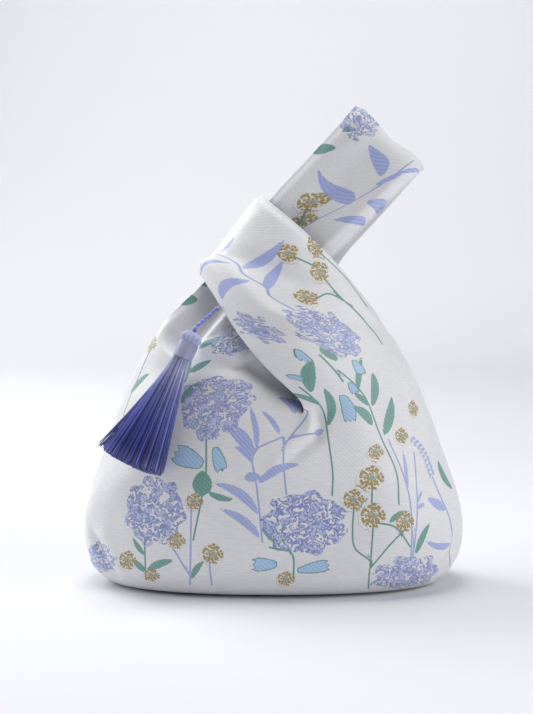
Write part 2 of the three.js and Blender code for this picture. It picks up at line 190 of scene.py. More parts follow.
# cord: two strands twisted together, from the edge of the short handle into the tassel's head
cord = {"diameter": 2.4, "points": 28, "twist": 6.5, "fine": 150, "sides": 10, "lead": 1.5, "overlap": 1.04,
        "tones": (0.95, 1.2), "along": 0.4}
routeKnots = [tassel["exit"], tassel["exit"] + cord["diameter"] * tassel["away"],
              onHank(0, -cord["lead"] * cord["diameter"], 0), tassel["top"], onHank(0, tassel["socket"], 0)]
route, cordLength = smoothLine(routeKnots, cord["points"])
fineRoute, _ = smoothLine(routeKnots, cord["fine"])
tangent = unit(np.gradient(fineRoute, axis=0))
sideOne = unit(np.cross(tangent, tassel["outward"]))
sideTwo = np.cross(tangent, sideOne)
cordPoints, cordFaces, cordShade = [], [], []
for strand in (0, 1):
    turns = np.linspace(0, cordLength, cord["fine"]) * 2 * pi / cord["twist"] + strand * pi
    offset = cord["diameter"] / 4 * (np.cos(turns)[:, None] * sideOne + np.sin(turns)[:, None] * sideTwo)
    points, faces = tube(fineRoute + offset, cord["diameter"] / 4 * cord["overlap"], cord["sides"])
    cordFaces += [tuple(i + sum(map(len, cordPoints)) for i in face) for face in faces]
    cordPoints.append(points)
    cordShade.append(np.full(len(points), cord["tones"][strand]))
tasselCord = meshPiece("tasselCord", np.vstack(cordPoints), cordFaces, silk)
storeOnPoints(tasselCord, "shade", np.concatenate(cordShade))
storeOnPoints(tasselCord, "along", np.full(len(tasselCord.data.vertices), cord["along"]))
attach(tasselCord, "tassel")
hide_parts("tassel_cord")
print("cord", round(cordLength, 1), "mm")

# bag: the same cage as the part's source, in mm, with finer columns
bag = {
    "width": 218.0, "depth": 120.0, "seamTop": 142.5, "neckDrop": 41.0, "neckSide": 16.5,
    "slitRise": 7.0, "slitWidth": 4.0, "slitDepth": 8.0, "sideHalfGap": 8.0,
    "brocade": 1.0, "lining": 0.6, "layerGap": 0.3, "seamGap": 0.3,
    "sectionPower": 2.25, "baseSeam": 0.8, "columns": 15, "longColumns": 9,
    "baseRows": (0, 0.5), "wallRows": (0, 0.055, 0.17, 0.33, 0.5), "shoulderRows": (1 / 3, 2 / 3, 1),
    "profile": ((0, 0.86, 0.8), (0.055, 0.955, 0.93), (0.17, 1, 1), (0.32, 0.988, 1), (0.45, 0.932, 0.96),
                (0.57, 0.873, 0.9), (0.69, 0.816, 0.82), (0.82, 0.752, 0.7), (0.93, 0.68, 0.585),
                (1, 0.62, 0.5)),
}
shortHandle = {"width": 57.0, "flare": 9.0, "foldAt": 0.62, "foldIn": 1.27, "foldUp": 3.5, "foldTurn": 3.0,
               "round": 7.0, "room": 5.5, "lift": 9.0, "neckLift": 4.0}
longHandle = {"width": 52.5, "side": 17.5, "rise": 59.5, "lean": 46.0, "tipLean": 48.0, "squeeze": 4.0,
              "reach": 69.5, "halfGap": 7.5, "round": 5.0, "lift": -2.5}
strapSteps = (0, 0.25, 0.5, 0.75, 1)
reachSteps = (1 / 3, 2 / 3, 1)


def profileAt(height):
    share = np.clip(height / bag["seamTop"], 0, 1)
    rows = np.array(bag["profile"])
    grow = 6 / (4 + 2 * cos(pi / bag["columns"]))  # a subdivided ring shrinks a little
    return (bag["width"] / 2 * grow * np.interp(share, rows[:, 0], rows[:, 1]),
            bag["depth"] / 2 * grow * np.interp(share, rows[:, 0], rows[:, 2]))


def ringPoint(turn, height, inset=1.0):
    angle = pi * (1 - turn)
    halfWidth, halfDepth = profileAt(height)
    power = 2 / bag["sectionPower"]
    across = np.sign(cos(angle)) * abs(cos(angle)) ** power
    out = abs(sin(angle)) ** power if 0 < turn < 1 else 0.0
    return np.array([halfWidth * mix(1, inset, 1 - bag["baseSeam"]) * across, -halfDepth * inset * out,
                     height])


neckBottom = bag["seamTop"] - bag["neckDrop"]
neckShare = bag["longColumns"] / bag["columns"]
neckTurn = 1 - acos((bag["neckSide"] / profileAt(neckBottom)[0]) ** (bag["sectionPower"] / 2)) / pi


def shoulderPoint(share, rise):
    left = share < neckShare
    fromSeam = share / neckShare if left else (1 - share) / (1 - neckShare)
    mouthHeight = mix(bag["seamTop"], neckBottom, ease(fromSeam))
    mouthTurn = fromSeam * neckTurn if left else 1 - fromSeam * (1 - neckTurn)
    return ringPoint(mix(share, mouthTurn, rise),
                     mix(bag["wallRows"][-1] * bag["seamTop"], mouthHeight, rise))


neckPoint = shoulderPoint(neckShare, 1)
slit = np.array([bag["slitWidth"] / 2, -bag["slitDepth"] / 2, 0])
neckHigh = neckPoint + slit + (0, 0, bag["slitRise"])
neckLow = neckPoint - slit + (0, 0, bag["slitRise"])


def sideOpening(seamTop):
    return seamTop + (-np.sign(seamTop[0]) * bag["slitRise"] * 0.6, -bag["sideHalfGap"], bag["slitRise"])


leftOpening, rightOpening = sideOpening(shoulderPoint(0, 1)), sideOpening(shoulderPoint(1, 1))


def bandRow(middle, turn, width, leftDepth, rightDepth, bulge):
    def place(share):
        across = (share - 0.5) * width
        depth = mix(leftDepth, rightDepth, share) + 4 * bulge * share * (1 - share)
        return np.array([middle[0] + across * cos(turn), -depth, middle[1] + across * sin(turn)])
    return place


def bandFromMouth(left, right, middle, turn, width, flare, depths):
    start = ((left[0] + right[0]) / 2, (left[2] + right[2]) / 2)
    startTurn = atan2(right[2] - left[2], right[0] - left[0])
    startWidth = np.hypot(right[0] - left[0], right[2] - left[2])
    return lambda step: bandRow((mix(start[0], middle[0], step), mix(start[1], middle[1], step)),
                                mix(startTurn, turn, step),
                                mix(startWidth, width, step) + flare * 4 * step * (1 - step), *depths(step))


longStart = (longHandle["side"], bag["seamTop"] + longHandle["rise"])
longRow = bandFromMouth(
    leftOpening, neckLow, longStart, radians(longHandle["lean"] - 90), longHandle["width"],
    -longHandle["squeeze"],
    lambda s: (mix(-leftOpening[1], longHandle["halfGap"], s) + longHandle["lift"] * 4 * s * (1 - s),
               mix(-neckLow[1], longHandle["halfGap"], 1 - (1 - s) ** 2), mix(4, 14, (1 - s) ** 2)))
foldEdge = longRow(shortHandle["foldAt"])(0)
edgeRun = longRow(shortHandle["foldAt"] + 0.17)(0) - longRow(shortHandle["foldAt"] - 0.17)(0)
foldTurn = atan2(edgeRun[2], edgeRun[0]) + radians(shortHandle["foldTurn"])
shortFold = (foldEdge[0] + shortHandle["foldIn"], foldEdge[2] + shortHandle["foldUp"])
shortHalfGap = longHandle["halfGap"] + shortHandle["room"]
shortRow = bandFromMouth(
    neckHigh, rightOpening, shortFold, foldTurn, shortHandle["width"], shortHandle["flare"],
    lambda s: (mix(-neckHigh[1], shortHalfGap, s ** 1.8) + shortHandle["neckLift"] * 4 * s * (1 - s),
               mix(-rightOpening[1], shortHalfGap, s) + shortHandle["lift"] * 4 * s * (1 - s),
               mix(4, 12, (1 - s) ** 1.5)))


def reachRow(step, depth, extra=0.0, bulge=4.0):
    lean = radians(mix(longHandle["lean"], longHandle["tipLean"], step / 2))
    along = longHandle["reach"] * step + extra
    turn = radians(mix(longHandle["lean"], longHandle["tipLean"], step)) - pi / 2
    return bandRow((longStart[0] + along * cos(lean), longStart[1] + along * sin(lean)), turn,
                   longHandle["width"], depth, depth, bulge)


shortFoldRow = bandRow((shortFold[0] - shortHandle["round"] * sin(foldTurn),
                        shortFold[1] + shortHandle["round"] * cos(foldTurn)),
                       foldTurn, shortHandle["width"], 0, 0, 0)
longFoldRow = reachRow(1, 0, longHandle["round"], 0)


def runs(rows):  # lengths along each row and up each column of a grid
    rows = np.asarray(rows)
    across = np.linalg.norm(np.diff(rows, axis=1), axis=2)
    up = np.linalg.norm(np.diff(rows, axis=0), axis=2)
    return (np.hstack([np.zeros((len(rows), 1)), np.cumsum(across, 1)]),
            np.vstack([np.zeros((1, rows.shape[1])), np.cumsum(up, 0)]))


def bagCage():  # points, flat places in the cloth, quads and their sides
    columns, longColumns = bag["columns"], bag["longColumns"]
    points, flat, quads, sides = [], [], [], []

    def grid(rows, flats):
        cells = []
        for row, spots in zip(rows, flats):
            line = []
            for point, spot in zip(row, spots):
                front = len(points)
                points.append(point)
                flat.append(spot)
                if abs(point[1]) > 1e-6:
                    points.append(point * (1, -1, 1))
                    flat.append(spot)
                line.append((front, len(points) - 1))
            cells.append(line)
        return cells

    def join(cells):
        for low, high in zip(cells, cells[1:]):
            for k in range(len(low) - 1):
                ring = (low[k], low[k + 1], high[k + 1], high[k])
                quads.append([both[0] for both in ring])
                quads.append([both[1] for both in reversed(ring)])
                sides.extend((0, 1))

    across = np.arange(columns + 1) / columns
    rows = [[ringPoint(s, 0, inset) for s in across] for inset in bag["baseRows"]]
    rows += [[ringPoint(s, share * bag["seamTop"]) for s in across] for share in bag["wallRows"]]
    rows += [[shoulderPoint(s, rise) for s in across] for rise in bag["shoulderRows"]]
    u, v = runs(rows)
    u -= u[:, -1:] / 2  # flat places: across from the middle, up from the base's edge
    v -= v[len(bag["baseRows"])]
    body = grid(rows, np.stack([u, v], 2))
    join(body)
    longPlaces = [longRow(s) for s in strapSteps] + [reachRow(s, longHandle["halfGap"]) for s in reachSteps]
    shortPlaces = [shortRow(s) for s in strapSteps]
    for places, first, last in ((longPlaces + [longFoldRow], 0, longColumns),
                                (shortPlaces + [shortFoldRow], longColumns, columns)):
        span = np.arange(last - first + 1) / (last - first)
        band = [rows[-1][first:last + 1]] + [[place(s) for s in span] for place in places]
        bandU, bandV = runs(band)
        bandU += (u[-1, first] + u[-1, last]) / 2 - bandU[:, -1:] / 2
        bandV += v[-1, first:last + 1]
        cells = grid(band[1:], np.stack([bandU, bandV], 2)[1:])
        join([body[-1][first:last + 1]] + cells)
    return np.array(points), np.array(flat), np.array(quads), np.array(sides)


def subdivide(points, quads):  # one round of Catmull-Clark, with smooth open edges
    count = len(points)
    pairs = np.sort(np.stack([quads, np.roll(quads, -1, 1)], 2).reshape(-1, 2), 1)
    ends, inverse, shared = np.unique(pairs, axis=0, return_inverse=True, return_counts=True)
    inverse = inverse.reshape(-1, 4)
    centres = points[quads].mean(1)
    middles = points[ends].mean(1)
    beside = np.zeros_like(middles)
    np.add.at(beside, inverse.ravel(), np.repeat(centres, 4, 0))
    isOpen = shared == 1
    edgePoints = np.where(isOpen[:, None], middles, (2 * middles + beside) / 4)
    faceSum, faceCount = np.zeros_like(points), np.zeros(count)
    np.add.at(faceSum, quads.ravel(), np.repeat(centres, 4, 0))
    np.add.at(faceCount, quads.ravel(), 1)
    edgeSum, openSum = np.zeros_like(points), np.zeros_like(points)
    edgeCount, openCount = np.zeros(count), np.zeros(count)
    for k in (0, 1):
        np.add.at(edgeSum, ends[:, k], middles)
        np.add.at(edgeCount, ends[:, k], 1)
        np.add.at(openSum, ends[isOpen, k], points[ends[isOpen, 1 - k]])
        np.add.at(openCount, ends[isOpen, k], 1)
    n = np.maximum(edgeCount, 1)[:, None]
    inner = (faceSum / np.maximum(faceCount, 1)[:, None] + 2 * edgeSum / n + (n - 3) * points) / n
    rim = 0.75 * points + 0.25 * openSum / np.maximum(openCount, 1)[:, None]
    made = np.vstack([np.where(openCount[:, None] > 0, rim, inner), edgePoints, centres])
    edge = inverse + count
    middle = np.arange(len(quads)) + count + len(ends)
    finer = np.stack([np.stack([quads[:, i], edge[:, i], middle, edge[:, i - 1]], 1) for i in range(4)], 1)
    return made, finer.reshape(-1, 4)


def normalsOf(points, quads):
    a, b, c, d = (points[quads[:, k]] for k in range(4))
    faceNormals = np.cross(c - a, d - b)
    normals = np.zeros_like(points)
    for k in range(4):
        np.add.at(normals, quads[:, k], faceNormals)
    return normals / np.maximum(np.linalg.norm(normals, axis=1), 1e-9)[:, None]


cagePoints, cageFlat, cageQuads, cageSides = bagCage()
levels = {"outer": 4, "inner": 3}
skin, quads, sides = cagePoints, cageQuads, cageSides
stages = []
for _ in range(levels["outer"]):
    stages.append((quads, sides))
    skin, quads = subdivide(skin, quads)
    sides = np.repeat(sides, 4)
coarseQuads, coarseSides = stages[levels["inner"]]
panelFlat = {}  # the cloth's flat places are carried along panel by panel
for side in (0, 1):
    spots, spotQuads = cageFlat, cageQuads[cageSides == side]
    for _ in range(levels["outer"]):
        spots, spotQuads = subdivide(spots, spotQuads)
    flatPlace = np.zeros((len(skin), 2))
    flatPlace[quads[sides == side].ravel()] = spots[spotQuads.ravel()]
    panelFlat[side] = flatPlace
print("cloth", len(quads), "quads")


def boundaryOf(panelQuads):  # open edges of one panel, each as start and next point
    pairs = np.stack([panelQuads, np.roll(panelQuads, -1, 1)], 2).reshape(-1, 2)
    count = pairs.max() + 1
    key = pairs[:, 0] * count + pairs[:, 1]
    back = pairs[:, 1] * count + pairs[:, 0]
    return pairs[~np.isin(key, back)]


freePoints = np.zeros(len(skin), bool)  # points on the bag's open edges, not on its seams
freePoints[boundaryOf(quads).ravel()] = True


def panelPiece(name, side, depth, thick, outerQuads, innerQuads, roll, material):
    panelQuads, backQuads = outerQuads[0][outerQuads[1] == side], innerQuads[0][innerQuads[1] == side]
    used = np.unique(panelQuads)
    place = np.full(len(shaped), -1)
    place[used] = np.arange(len(used))
    inside = np.unique(backQuads)
    insidePlace = np.full(len(shaped), -1)
    edges = boundaryOf(panelQuads)
    following = dict(edges.tolist())
    rimPoints = edges[:, 0]
    way = shaped[edges[:, 1]] - shaped[edges[:, 0]]
    out = np.zeros_like(shaped)
    outEdge = np.cross(unit(way), shapedNormals[edges[:, 0]])
    np.add.at(out, edges[:, 0], outEdge)
    np.add.at(out, edges[:, 1], outEdge)
    out = out[rimPoints]
    out *= (freePoints[rimPoints] / np.maximum(np.linalg.norm(out, axis=1), 1e-9))[:, None]
    loops = [shaped[used] - depth * shapedNormals[used]]
    starts, total = [], len(used)
    for turn in ((pi / 4, pi / 2, 3 * pi / 4) if roll else ()):
        starts.append(total)
        inward = depth + thick / 2 * (1 - cos(turn))
        loops.append(shaped[rimPoints] - inward * shapedNormals[rimPoints] + roll * sin(turn) * out)
        total += len(rimPoints)
    insidePlace[inside] = np.arange(len(inside)) + total
    loops.append(shaped[inside] - (depth + thick) * shapedNormals[inside])
    points = np.vstack(loops)
    sign = -1 if side == 0 else 1
    points[:, 1] = sign * np.maximum(sign * points[:, 1], bag["seamGap"] / 2)
    order = {point: k for k, point in enumerate(rimPoints.tolist())}
    faces = place[panelQuads].tolist() + insidePlace[backQuads][:, ::-1].tolist()

    def onLoop(loop, point):
        return int(place[point]) if loop < 0 else starts[loop] + order[point]

    for loop in range(len(starts)):
        for a, b in edges.tolist():
            faces.append((onLoop(loop - 1, a), onLoop(loop, a), onLoop(loop, b), onLoop(loop - 1, b)))
    last = len(starts) - 1
    for a, b in edges.tolist():
        if insidePlace[a] < 0:
            continue
        if insidePlace[b] >= 0:  # the two faces are as fine as each other
            faces.append((onLoop(last, a), int(insidePlace[a]), int(insidePlace[b]), onLoop(last, b)))
        else:  # the inner face is half as fine
            c = following[b]
            faces.append((onLoop(last, a), int(insidePlace[a]), int(insidePlace[c]), onLoop(last, c),
                          onLoop(last, b)))
    piece = meshPiece(name, points, faces, material)
    source = np.concatenate([used] + [rimPoints] * len(starts) + [inside])
    storeOnPoints(piece, "flat", np.column_stack([panelFlat[side][source], np.zeros(len(source))]))
    return piece, source


def alongAcross(spots, start, end):  # share of the way from start to end, and mm to its left
    way = np.subtract(end, start).astype(float)
    length = np.hypot(*way)
    reach = spots - np.asarray(start, float)
    return reach @ way / length ** 2, (reach[:, 1] * way[0] - reach[:, 0] * way[1]) / length, length


# folds: soft ridges and hollows pushed into the cloth, each along a line in the flat, in mm:
# start, end, height, half width, how far it fades past its ends
folds = {
    "lines": (
        ((-33, 226), (-29, 276), 2.2, 4.0, 14),  # the long handle rides up in a ridge beside its right edge
        ((-24, 214), (-21, 262), -2.6, 3.0, 16),  # and dips along that edge
        ((-50, 236), (-50, 330), -3.0, 11.0, 14),  # hollow along its middle
        ((-62, 236), (-58, 264), -3.0, 7.0, 12),  # deeper where the short handle presses on it
        ((-60, 180), (-50, 196), -2.2, 3.0, 5),  # crease in the hollow under the short handle
        ((-72, 206), (-78, 166), -13.0, 10.0, 9),  # hollow behind the tassel's cord
        ((-95, 186), (-97, 160), 0.9, 5.0, 14),  # round roll at the shoulder
        ((-59, 200), (-63, 174), 2.4, 6.0, 8),
        ((-34, 158), (2, 129), -5.4, 8.5, 7),  # hollow behind the foot of the neck
        ((16, 115), (17, 104), 1.8, 3.6, 5),  # pleat that bends away under the neck
        ((16, 101), (3, 87), 1.8, 4.0, 7),
        ((23, 113), (22, 98), -1.3, 3.8, 5),
        ((20, 96), (9, 83), -1.2, 4.0, 6),
        ((62, 236), (74, 208), -1.7, 9.0, 12),  # slack in the short handle
        ((42, 236), (44, 196), 4.4, 8.5, 10),
        ((70, 196), (86, 178), -1.2, 6.0, 10),
        ((-112, 34), (-94, 9), -2.6, 3.6, 7),  # boxed corners of the base
        ((-100, 38), (-86, 14), 1.2, 5.0, 8),
        ((114, 30), (98, 8), -2.2, 4.5, 7),
        ((-96, 98), (-70, 60), -1.3, 12.0, 14),  # slack in the body
        ((-30, 74), (36, 70), 1.0, 12.0, 20),
        ((60, 110), (96, 60), -1.3, 11.0, 16),
    ),
    "edgeRoll": 1.9, "edgeWidth": 3.4, "seamGroove": 0.6, "seamWidth": 1.0, "seamFade": 14.0, "bodyOver": 4.0,
    "bodyFade": 8.0, "baseFrom": 1.0, "baseFade": 12.0,
    "slack": 0.75, "slackSize": 38.0, "slackSpread": (0.8, 1.7), "waves": 7, "waveShare": 2.6, "calm": 0.35,
    "calmFrom": 150.0, "calmOver": 60.0, "seed": 11,
}


def foldHeight(spots):
    height = np.zeros(len(spots))
    for start, end, rise, half, fade in folds["lines"]:
        share, side, length = alongAcross(spots, start, end)
        beyond = np.maximum(np.maximum(-share, share - 1), 0) * length
        height += rise * np.exp(-(side / half) ** 2 - (beyond / fade) ** 2)
    draws = np.random.default_rng(folds["seed"])  # slack: a few long waves with fixed random directions
    calm = mix(1.0, folds["calm"], ease((spots[:, 1] - folds["calmFrom"]) / folds["calmOver"]))
    for _ in range(folds["waves"]):
        turn, phase = draws.uniform(0, pi), draws.uniform(0, 2 * pi)
        size = folds["slackSize"] * draws.uniform(*folds["slackSpread"])
        wave = np.sin(2 * pi / size * (spots @ (cos(turn), sin(turn))) + phase)
        height += folds["slack"] / folds["waveShare"] * calm * wave
    return height


skinNormals = normalsOf(skin, quads)
push = np.zeros(len(skin))
for side in (0, 1):
    onSide = np.unique(quads[sides == side])
    push[onSide] = foldHeight(panelFlat[side][onSide])
fromSeam = abs(skin[:, 1])
onBody = ease((bag["seamTop"] + folds["bodyOver"] - skin[:, 2]) / folds["bodyFade"])
push *= mix(1, ease(fromSeam / folds["seamFade"]), onBody)
push *= ease((skin[:, 2] - folds["baseFrom"]) / folds["baseFade"])
groove = folds["seamGroove"] * np.exp(-(fromSeam / folds["seamWidth"]) ** 2)
push -= groove * onBody * ease(skin[:, 2] / folds["bodyFade"])
openEdge = boundaryOf(quads)
edgeTree = KDTree(len(openEdge))
for k, point in enumerate(skin[openEdge[:, 0]].tolist()):
    edgeTree.insert(point, k)
edgeTree.balance()
fromEdge = np.array([edgeTree.find(point)[2] for point in skin.tolist()])
push -= folds["edgeRoll"] * np.exp(-(fromEdge / folds["edgeWidth"]) ** 2)  # turned edges roll in
shaped = skin + push[:, None] * skinNormals
shapedNormals = normalsOf(shaped, quads)
fine, coarse = (quads, sides), (coarseQuads, coarseSides)

# brocade pattern: sprays and flower heads of our own drawing, placed in the flat cloth, in mm
garden = {
    "heads": ((-37, 118, 19, 24, 0.35), (-67, 54, 18, 19, 0.65), (17, 48, 23, 17, 0.85),
              (60, 182, 13, 20, 0.3), (77, 16, 22, 12, 0.5), (-66, 333, 12, 14, 0.45),
              (-46, 178, 12, 12, 0.75), (34, 181, 7, 11, 0.4), (-106, 23, 14, 10, 0.6)),
    "umbels": ((-97, 152, 5), (77, 238, 5), (93, 230, 5), (84, 219, 5), (67, 209, 5), (-54, 276, 6),
               (-51, 261, 5), (76, 97, 4), (57, 88, 4), (54, 73, 6), (44, 61, 5), (55, 52, 6), (74, 48, 5),
               (90, 112, 4), (-83, 25, 5), (-68, 17, 4), (-33, 31, 5), (-53, 38, 4), (-43, 60, 4),
               (7, 16, 4)),
    "leaves": ((-101, 120, -86, 133, 5, 1), (-56, 114, -47, 134, 5.5, 1), (-39, 63, -39, 77, 11, 0),
               (-36, 65, -21, 61, 3.6, -1), (-71, 20, -55, 27, 4.6, 1), (-72, 19, -80, 26, 4.2, 0),
               (-72, 29, -80, 39, 3, 0.5), (-45, 16, -38, 27, 3.6, 1), (-5, 44, 3, 37, 3.6, 0),
               (-58, 130, -63, 155, 4, 1), (-62, 168, -54, 183, 5, 1), (56, 115, 65, 142, 5.6, -1),
               (55, 104, 43, 117, 5.8, -1), (63, 98, 72, 120, 7, -1), (28, 105, 34, 134, 5, -1),
               (26, 119, 18, 130, 4.6, -1), (27, 130, 41, 159, 4.6, 1), (53, 116, 47, 128, 4, 0),
               (50, 129, 65, 160, 4, 1), (50, 160, 53, 174, 5.6, 1), (81, 29, 92, 46, 4.4, 1),
               (104, 80, 116, 62, 5, -1.5), (64, 48, 74, 54, 3.4, 0.5), (-73, 297, -65, 310, 4.8, 1),
               (-69, 318, -62, 326, 2.6, 1), (-93, 183, -84, 193, 5, 0.5), (-88, 198, -78, 207, 3.4, 1),
               (-58, 140, -52, 160, 5, 1)),
    "blades": ((52, 232, 81, 246, 5.8, 2), (53, 215, 72, 236, 4.6, 2), (50, 235, 31, 228, 3.8, -3),
               (50, 221, 31, 203, 4.8, -2.5), (48, 247, 61, 263, 2, 0), (-37, 266, -65, 295, 6.2, -3.5),
               (-35, 285, -53, 321, 4.4, -2), (-34, 277, -28, 284, 5, 0), (-32, 264, -21, 246, 4.8, 2),
               (-38, 255, -22, 237, 4.2, 1.5), (-30, 284, -20, 279, 3.8, 1), (-12, 85, -30, 103, 7.6, -3),
               (-10, 89, -18, 117, 3.4, -2), (2, 99, -11, 114, 3, -1.5), (8, 113, -8, 126, 4.4, -2),
               (-11, 81, -23, 91, 2.8, -1), (-16, 73, -7, 74, 5.4, 0), (-8, 70, 14, 81, 5, 2.5),
               (-8, 53, -33, 70, 5.2, -3.5), (-7, 40, -30, 56, 4.6, -2.5), (15, 115, -4, 125, 4.2, -1.5),
               (21, 100, 26, 103, 4, 0), (76, 64, 75, 89, 2.6, 0), (83, 58, 88, 65, 2.2, 0),
               (82, 55, 90, 57, 2.6, 0), (107, 52, 92, 60, 5.6, 0), (110, 32, 88, 36, 4, 2.5)),
    "bells": ((-39, 80, -56, 87, 11.5), (-33, 90, -28, 76, 7.4), (40, 127, 41, 106, 8.4),
              (48, 138, 48, 126, 5.6), (59, 159, 58, 142, 6.4), (40, 167, 38, 156, 5),
              (25, 144, 31, 141, 5.4), (2, 25, -12, 25, 8.6), (13, 21, 31, 25, 7)),
    "tealStems": (((-39, 99), (-37, 77), (-39, 63), (-44, 39)), ((-94, 151), (-97, 133), (-101, 107)),
                  ((-58, 131), (-61, 112), (-62, 87)), ((-72, 38), (-72, 14)), ((-2, 35), (10, 31), (11, 17)),
                  ((1, 45), (10, 31)), ((25, 134), (27, 107), (32, 79), (32, 64)),
                  ((47, 151), (55, 112), (68, 78), (70, 58)), ((54, 69), (54, 56)),
                  ((55, 47), (53, 20), (53, 8)), ((44, 58), (44, 36), (52, 28)),
                  ((74, 44), (64, 35), (53, 22)), ((57, 48), (68, 45), (77, 34)),
                  ((83, 216), (83, 199), (86, 180), (85, 160)), ((92, 226), (96, 203), (94, 185)),
                  ((70, 207), (79, 206), (85, 192)), ((78, 234), (84, 222)), ((46, 164), (45, 140)),
                  ((-54, 272), (-52, 262), (-50, 250))),
    "blueStems": (((55, 200), (51.5, 209), (53.5, 217), (50, 226), (51.5, 236), (47, 246)),
                  ((-52, 251), (-46, 259), (-38, 267), (-33, 275), (-28, 292)), ((4, 98), (5, 82), (7, 64)),
                  ((-10, 89), (-12, 83), (-9, 67), (-6, 38)), ((-10, 90), (4, 98)),
                  ((4, 90), (8, 97), (22, 101)), ((7, 97), (15, 111), (16, 119)),
                  ((66, 95), (75, 69), (78, 55), (78, 26)), ((83, 86), (83, 58), (79, 27)),
                  ((98, 71), (107, 52), (110, 42), (112, 18)), ((-45, 57), (-46, 12)), ((-55, 33), (-46, 18)),
                  ((-35, 27), (-34, 12))),
    "spikes": (((83, 95), (91, 85), (98, 71)),),
    "stemHalf": 0.5, "guard": 1.05,
}


def leafField(spots, start, end, width, bend):  # mm inside the leaf's edge, and mm from its midrib
    share, side, length = alongAcross(spots, start, end)
    held = np.clip(share, 0, 1)
    crown = 4 * held ** 0.85 * (1 - held ** 0.85)
    rib = side - bend * 4 * held * (1 - held)
    beyond = np.maximum(-share, share - 1) * length
    return np.where(beyond > 0, -np.hypot(np.maximum(beyond, 0), side),
                    width / 2 * crown ** 0.8 - abs(rib)), rib


def bellField(spots, start, end, width):  # a bell flower that opens towards its scalloped mouth
    share, side, length = alongAcross(spots, start, end)
    opening = 0.25 + 0.75 * np.sqrt(np.clip(share / 0.6, 0, 1))
    half = width / 2 * opening * (1 - 0.2 * ease((share - 0.75) / 0.25))
    mouth = (1 - share) * length + 1.1 * np.cos(6 * pi * side / width) - 1.1
    return np.minimum(np.minimum(half - abs(side), mouth), share * length)


def headField(spots, u, v, halfWidth, halfHeight):  # a round flower head with a ragged edge
    across, up = (spots[:, 0] - u) / halfWidth, (spots[:, 1] - v) / halfHeight
    turn = np.arctan2(up, across)
    ragged = 1.1 * np.sin(7 * turn + u) + 0.8 * np.sin(12 * turn + v)
    return (1 - np.hypot(across, up)) * min(halfWidth, halfHeight) + ragged


def stemFields(spots, stems):  # signed and plain distance to the nearest stem
    signed, plain = np.full(len(spots), 9.0), np.full(len(spots), 9.0)
    for knots in stems:
        line, _ = smoothLine(knots, 6 * len(knots))
        for start, end in zip(line, line[1:]):
            share, side, length = alongAcross(spots, start, end)
            beyond = np.maximum(np.maximum(-share, share - 1), 0) * length
            away = np.hypot(beyond, side)
            nearer = away < plain
            plain = np.where(nearer, away, plain)
            signed = np.where(nearer, side, signed)
    return signed, plain


def patternOf(spots):  # every field that the brocade's shader reads
    fields = {name: np.full(len(spots), -6.0) for name in ("leaf", "blade", "bell", "head")}
    rib, deep = np.full(len(spots), 9.0), np.zeros(len(spots))
    umbel = np.full((len(spots), 3), 6.0)
    for kind, group in (("leaf", garden["leaves"]), ("blade", garden["blades"])):
        for u0, v0, u1, v1, width, bend in group:
            inside, middle = leafField(spots, (u0, v0), (u1, v1), width, bend)
            rib = np.where((inside > fields[kind]) & (inside > -1), middle, rib)
            fields[kind] = np.maximum(fields[kind], inside)
    for spike in garden["spikes"]:  # a spike of small paired florets
        line, _ = smoothLine(spike, 10)
        for k, (spot, following) in enumerate(zip(line, line[1:])):
            way = following - spot
            for hand in (-1, 1):
                tip = spot + way * 0.5 + hand * np.array((-way[1], way[0])) * mix(0.75, 1.0, k / 9)
                fields["blade"] = np.maximum(fields["blade"], leafField(spots, spot, tip, 1.9, 0)[0])
    for u0, v0, u1, v1, width in garden["bells"]:
        fields["bell"] = np.maximum(fields["bell"], bellField(spots, (u0, v0), (u1, v1), width))
    for u, v, halfWidth, halfHeight, tone in garden["heads"]:
        inside = headField(spots, u, v, halfWidth, halfHeight)
        deep = np.where(inside > fields["head"], tone, deep)
        fields["head"] = np.maximum(fields["head"], inside)
    for u, v, radius in garden["umbels"]:
        local = (spots - (u, v)) / (radius * 1.12)
        near = np.hypot(local[:, 0], local[:, 1]) < 1.4
        umbel[near, :2] = local[near]
    tealSigned, tealPlain = stemFields(spots, garden["tealStems"])
    blueSigned, bluePlain = stemFields(spots, garden["blueStems"])
    return {**fields, "rib": rib, "deep": deep, "umbel": umbel, "tealStem": tealSigned,
            "tealGuard": tealPlain, "blueStem": blueSigned, "blueGuard": bluePlain}


# satin brocade: white silk-like warp with slubbed weft, and flowers woven over it in flat floats of coloured
# thread, so the ground has a soft sheen in fine cross lines and the flowers stand a little proud of it
brocadeTone = {
    "ground": "#E9E9EB", "slub": "#DADBE0", "blue": "#9FABDC", "blueLight": "#B1BBE3", "teal": "#6A9A92",
    "tealLight": "#80ABA2", "sky": "#9DC0E4", "skyLight": "#B3D0EB", "headLight": "#BEC5E4",
    "headDeep": "#8696C9", "headOutlineAndShade": "#6F7CAE", "headHighlight": "#D2D8F0", "gold": "#A8935A",
    "goldCore": "#86AB9F",
}
brocadeTone = {name: toLinear(code) for name, code in brocadeTone.items()}
# sizes of the weave in mm; the floats are drawn coarser than real
weave = {"slubAcross": 0.5, "slubAlong": 7.0, "float": 1.3, "fray": 0.45, "raised": 0.16, "slubRaised": 0.16,
         "floatRaised": 0.05, "relief": 0.8}
